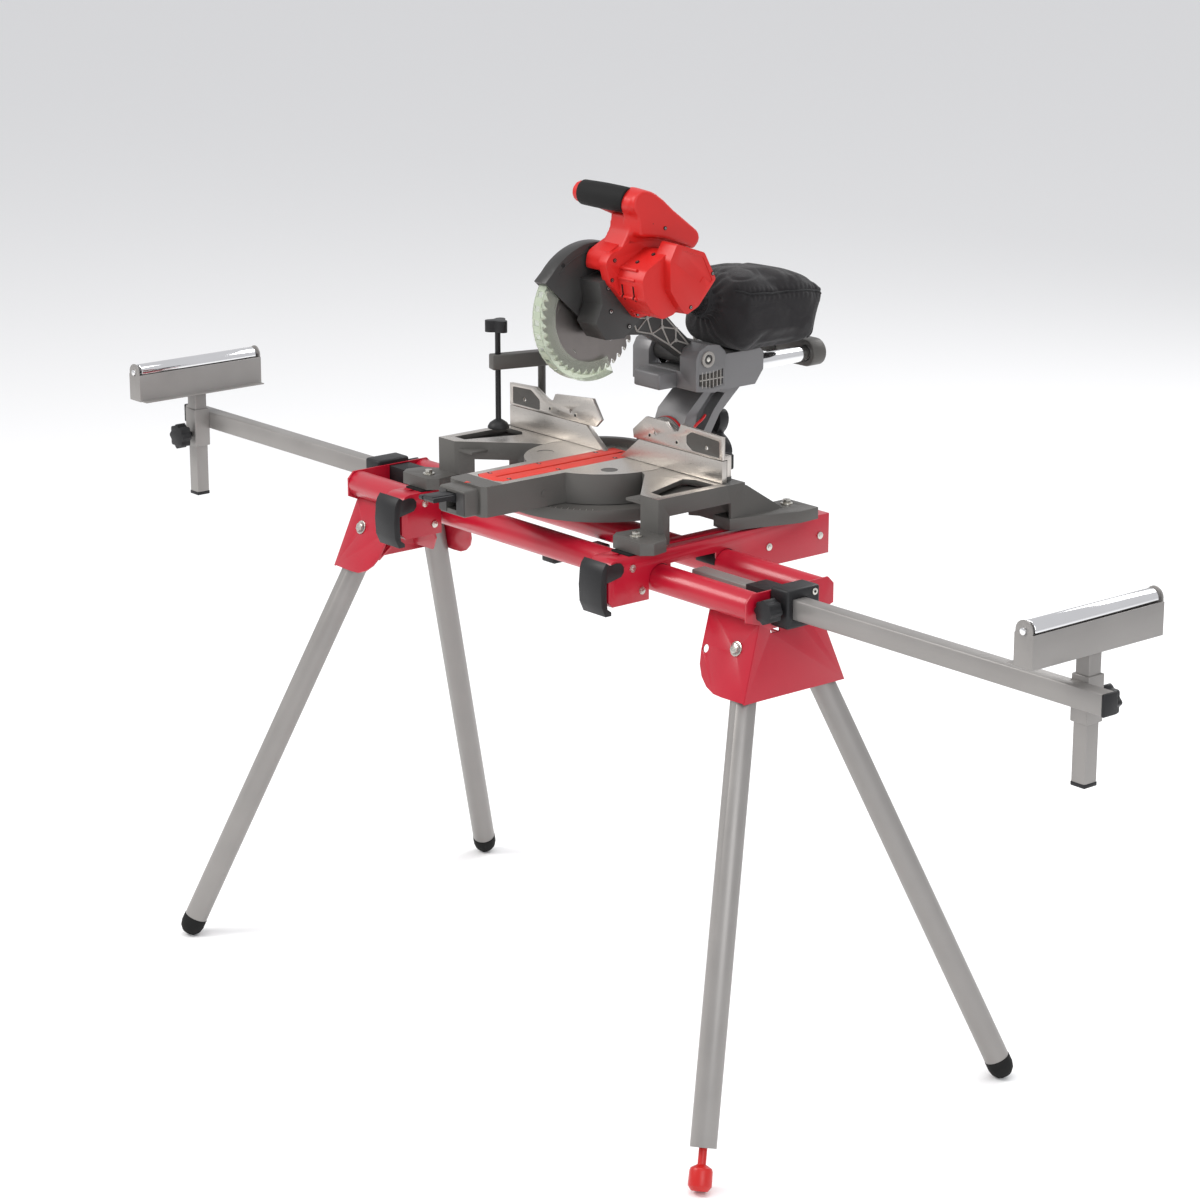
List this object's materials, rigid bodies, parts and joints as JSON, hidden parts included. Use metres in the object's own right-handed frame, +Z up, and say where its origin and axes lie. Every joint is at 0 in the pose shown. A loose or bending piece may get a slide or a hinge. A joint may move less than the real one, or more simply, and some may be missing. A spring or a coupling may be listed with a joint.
{
  "type": "sliding mitre saw on folding stand",
  "caption": "Sliding compound mitre saw bolted to a folding saw stand: splayed legs, telescoping extension bars with roller supports, tilting head, dust bag and work clamp.",
  "frame": {"origin": "on the floor, under the middle of the whole object's box", "axes": "+X along the stand's beam to the operator's right, +Y away from the operator, +Z up"},
  "size_m": [2.19, 0.7933, 1.308],
  "materials": {
    "red_paint": "gloss powder coat",
    "red_plastic": "satin",
    "kerf_red": "matte",
    "grey_paint": "satin metallic",
    "cast_grey": "textured cast",
    "machined": "machined",
    "black_plastic": "matte",
    "rubber": "matte",
    "chrome": "polished",
    "steel": "ground",
    "clear_guard": "clear plastic",
    "bag_cloth": "woven"
  },
  "bodies": {
    "stand_frame": {"front_beam_tube": "red_paint", "rear_beam_tube": "red_paint", "left_leg_housing": "red_paint", "right_leg_housing": "red_paint", "centre_cross_member": "black_plastic", "left_bar_clamp_block": "black_plastic", "right_bar_clamp_block": "black_plastic"},
    "front_left_leg": {"front_left_leg": "grey_paint", "front_left_foot": "rubber"},
    "rear_left_leg": {"rear_left_leg": "grey_paint", "rear_left_foot": "rubber"},
    "front_right_leg": {"front_right_leg": "grey_paint"},
    "rear_right_leg": {"rear_right_leg": "grey_paint", "rear_right_foot": "rubber"},
    "levelling_foot": {"front_right_foot": "red_plastic"},
    "left_extension": {"left_extension_bar": "grey_paint"},
    "left_support": {"left_support_post": "grey_paint", "left_roller_bracket": "grey_paint"},
    "left_roller": {"left_roller": "chrome"},
    "left_bar_clamp_knob": {"left_bar_clamp_knob": "black_plastic"},
    "left_support_knob": {"left_support_knob": "black_plastic"},
    "right_extension": {"right_extension_bar": "grey_paint"},
    "right_support": {"right_support_post": "grey_paint", "right_roller_bracket": "grey_paint"},
    "right_roller": {"right_roller": "chrome"},
    "right_bar_clamp_knob": {"right_bar_clamp_knob": "black_plastic"},
    "right_support_knob": {"right_support_knob": "black_plastic"},
    "saw_carrier": {"left_mounting_arm": "red_paint", "right_mounting_arm": "red_paint", "saw_base": "cast_grey", "fixed_fence": "machined"},
    "left_arm_lever": {"left_arm_lever": "black_plastic"},
    "left_sliding_fence": {"left_sliding_fence": "machined"},
    "right_arm_lever": {"right_arm_lever": "black_plastic"},
    "right_sliding_fence": {"right_sliding_fence": "machined"},
    "fence_lock_knob": {"fence_lock_knob": "black_plastic"},
    "clamp_arm": {"clamp_arm": "cast_grey"},
    "clamp_screw": {"clamp_screw": "black_plastic"},
    "turntable": {"turntable": "machined", "kerf_plate": "kerf_red"},
    "mitre_lock_lever": {"mitre_lock_lever": "black_plastic"},
    "bevel_arm": {"bevel_arm": "cast_grey"},
    "bevel_lock_knob": {"bevel_lock_knob": "black_plastic"},
    "carriage": {"left_slide_rail": "chrome", "right_slide_rail": "chrome", "carriage_block": "cast_grey", "rail_end_cap": "cast_grey"},
    "saw_head": {"head_arm": "cast_grey", "upper_blade_guard": "cast_grey", "motor_housing": "red_plastic", "motor": "steel", "handle_housing": "red_plastic", "handle_grip": "rubber", "dust_port": "black_plastic", "dust_bag": "bag_cloth"},
    "spindle": {"blade": "steel", "arbor": "steel"},
    "lower_guard": {"lower_guard": "clear_guard"},
    "trigger": {"trigger": "black_plastic"}
  },
  "joints": [
    {"name": "front_left_leg_fold", "type": "hinge", "parent": "stand_frame", "child": "front_left_leg", "pos_m": [-0.446, -0.1275, 0.695], "axis": [0, -0.9379, 0.3469], "range_deg": [0, 106]},
    {"name": "rear_left_leg_fold", "type": "hinge", "parent": "stand_frame", "child": "rear_left_leg", "pos_m": [-0.446, -0.0075, 0.695], "axis": [0, -0.9379, -0.3469], "range_deg": [0, 106]},
    {"name": "front_right_leg_fold", "type": "hinge", "parent": "stand_frame", "child": "front_right_leg", "pos_m": [0.446, -0.1195, 0.695], "axis": [0, 0.9379, -0.3469], "range_deg": [0, 92]},
    {"name": "rear_right_leg_fold", "type": "hinge", "parent": "stand_frame", "child": "rear_right_leg", "pos_m": [0.446, -0.0155, 0.695], "axis": [0, 0.9379, 0.3469], "range_deg": [0, 92]},
    {"name": "levelling_foot_screw", "type": "slide", "parent": "front_right_leg", "child": "levelling_foot", "axis": [-0.2521, 0.3357, 0.9076], "range_m": [0, 0.018]},
    {"name": "left_extension_slide", "type": "slide", "parent": "stand_frame", "child": "left_extension", "axis": [1, 0, 0], "range_m": [0, 0.4]},
    {"name": "left_support_height", "type": "slide", "parent": "left_extension", "child": "left_support", "axis": [0, 0, 1], "range_m": [-0.028, 0.08]},
    {"name": "left_roller_spin", "type": "hinge", "parent": "left_support", "child": "left_roller", "pos_m": [-1.03, -0.0775, 0.8703], "axis": [0, 1, 0], "continuous": true},
    {"name": "left_bar_clamp_turn", "type": "hinge", "parent": "stand_frame", "child": "left_bar_clamp_knob", "pos_m": [-0.499, -0.0195, 0.768], "axis": [0, 1, 0], "continuous": true},
    {"name": "left_support_clamp_turn", "type": "hinge", "parent": "left_extension", "child": "left_support_knob", "pos_m": [-1.03, -0.1075, 0.745], "axis": [0, 1, 0], "continuous": true},
    {"name": "right_extension_slide", "type": "slide", "parent": "stand_frame", "child": "right_extension", "axis": [-1, 0, 0], "range_m": [0, 0.4]},
    {"name": "right_support_height", "type": "slide", "parent": "right_extension", "child": "right_support", "axis": [0, 0, 1], "range_m": [-0.028, 0.08]},
    {"name": "right_roller_spin", "type": "hinge", "parent": "right_support", "child": "right_roller", "pos_m": [1.03, -0.0575, 0.8703], "axis": [0, 1, 0], "continuous": true},
    {"name": "right_bar_clamp_turn", "type": "hinge", "parent": "stand_frame", "child": "right_bar_clamp_knob", "pos_m": [0.499, -0.1155, 0.768], "axis": [0, 1, 0], "continuous": true},
    {"name": "right_support_clamp_turn", "type": "hinge", "parent": "right_extension", "child": "right_support_knob", "pos_m": [1.03, -0.0275, 0.745], "axis": [0, 1, 0], "continuous": true},
    {"name": "saw_position_slide", "type": "slide", "parent": "stand_frame", "child": "saw_carrier", "axis": [1, 0, 0], "range_m": [-0.12, 0.12]},
    {"name": "left_arm_lever_swing", "type": "hinge", "parent": "saw_carrier", "child": "left_arm_lever", "pos_m": [-0.248, -0.2145, 0.794], "axis": [-1, 0, 0], "range_deg": [0, 60]},
    {"name": "left_fence_slide", "type": "slide", "parent": "saw_carrier", "child": "left_sliding_fence", "axis": [1, 0, 0], "range_m": [-0.09, 0]},
    {"name": "right_arm_lever_swing", "type": "hinge", "parent": "saw_carrier", "child": "right_arm_lever", "pos_m": [0.248, -0.2145, 0.794], "axis": [-1, 0, 0], "range_deg": [0, 60]},
    {"name": "right_fence_slide", "type": "slide", "parent": "saw_carrier", "child": "right_sliding_fence", "axis": [1, 0, 0], "range_m": [0, 0.09]},
    {"name": "fence_lock_turn", "type": "hinge", "parent": "saw_carrier", "child": "fence_lock_knob", "pos_m": [0.215, 0.0325, 0.9053], "axis": [0, 1, 0], "continuous": true},
    {"name": "clamp_arm_swing", "type": "hinge", "parent": "saw_carrier", "child": "clamp_arm", "pos_m": [-0.205, 0.0325, 0.9633], "axis": [0, 0, 1], "range_deg": [0, 45]},
    {"name": "clamp_screw_travel", "type": "slide", "parent": "clamp_arm", "child": "clamp_screw", "axis": [0, 0, -1], "range_m": [-0.05, 0.0065]},
    {"name": "mitre_turn", "type": "hinge", "parent": "saw_carrier", "child": "turntable", "pos_m": [0, -0.0175, 0.8633], "axis": [0, 0, 1], "range_deg": [-45, 45]},
    {"name": "mitre_lock_press", "type": "hinge", "parent": "turntable", "child": "mitre_lock_lever", "pos_m": [0, -0.2835, 0.8593], "axis": [1, 0, 0], "range_deg": [0, 9], "stiffness_Nm_per_rad": 1, "springref_deg": -17.19},
    {"name": "bevel_tilt", "type": "hinge", "parent": "turntable", "child": "bevel_arm", "pos_m": [0, 0.1125, 0.8833], "axis": [0, 1, 0], "range_deg": [-45, 45]},
    {"name": "bevel_lock_turn", "type": "hinge", "parent": "bevel_arm", "child": "bevel_lock_knob", "pos_m": [0, 0.2025, 0.8833], "axis": [0, 1, 0], "continuous": true},
    {"name": "rail_slide", "type": "slide", "parent": "bevel_arm", "child": "carriage", "axis": [0, -1, 0], "range_m": [0, 0.105]},
    {"name": "head_chop", "type": "hinge", "parent": "carriage", "child": "saw_head", "pos_m": [0, 0.1325, 1.0253], "axis": [-1, 0, 0], "range_deg": [-45, 0], "stiffness_Nm_per_rad": 14, "springref_deg": 68.75},
    {"name": "blade_spin", "type": "hinge", "parent": "saw_head", "child": "spindle", "pos_m": [0, -0.0385, 1.1083], "axis": [1, 0, 0], "continuous": true},
    {"name": "guard_retract", "type": "hinge", "parent": "saw_head", "child": "lower_guard", "pos_m": [0, -0.0385, 1.1083], "axis": [1, 0, 0], "range_deg": [-150, 0]},
    {"name": "trigger_pull", "type": "slide", "parent": "saw_head", "child": "trigger", "axis": [0, -0.8746, 0.4848], "range_m": [0, 0.0045], "stiffness_N_per_m": 300, "springref_m": -0.004}
  ],
  "couplings": [
    {"joint": "guard_retract", "follows": "head_chop", "ratio": 3.3333}
  ]
}
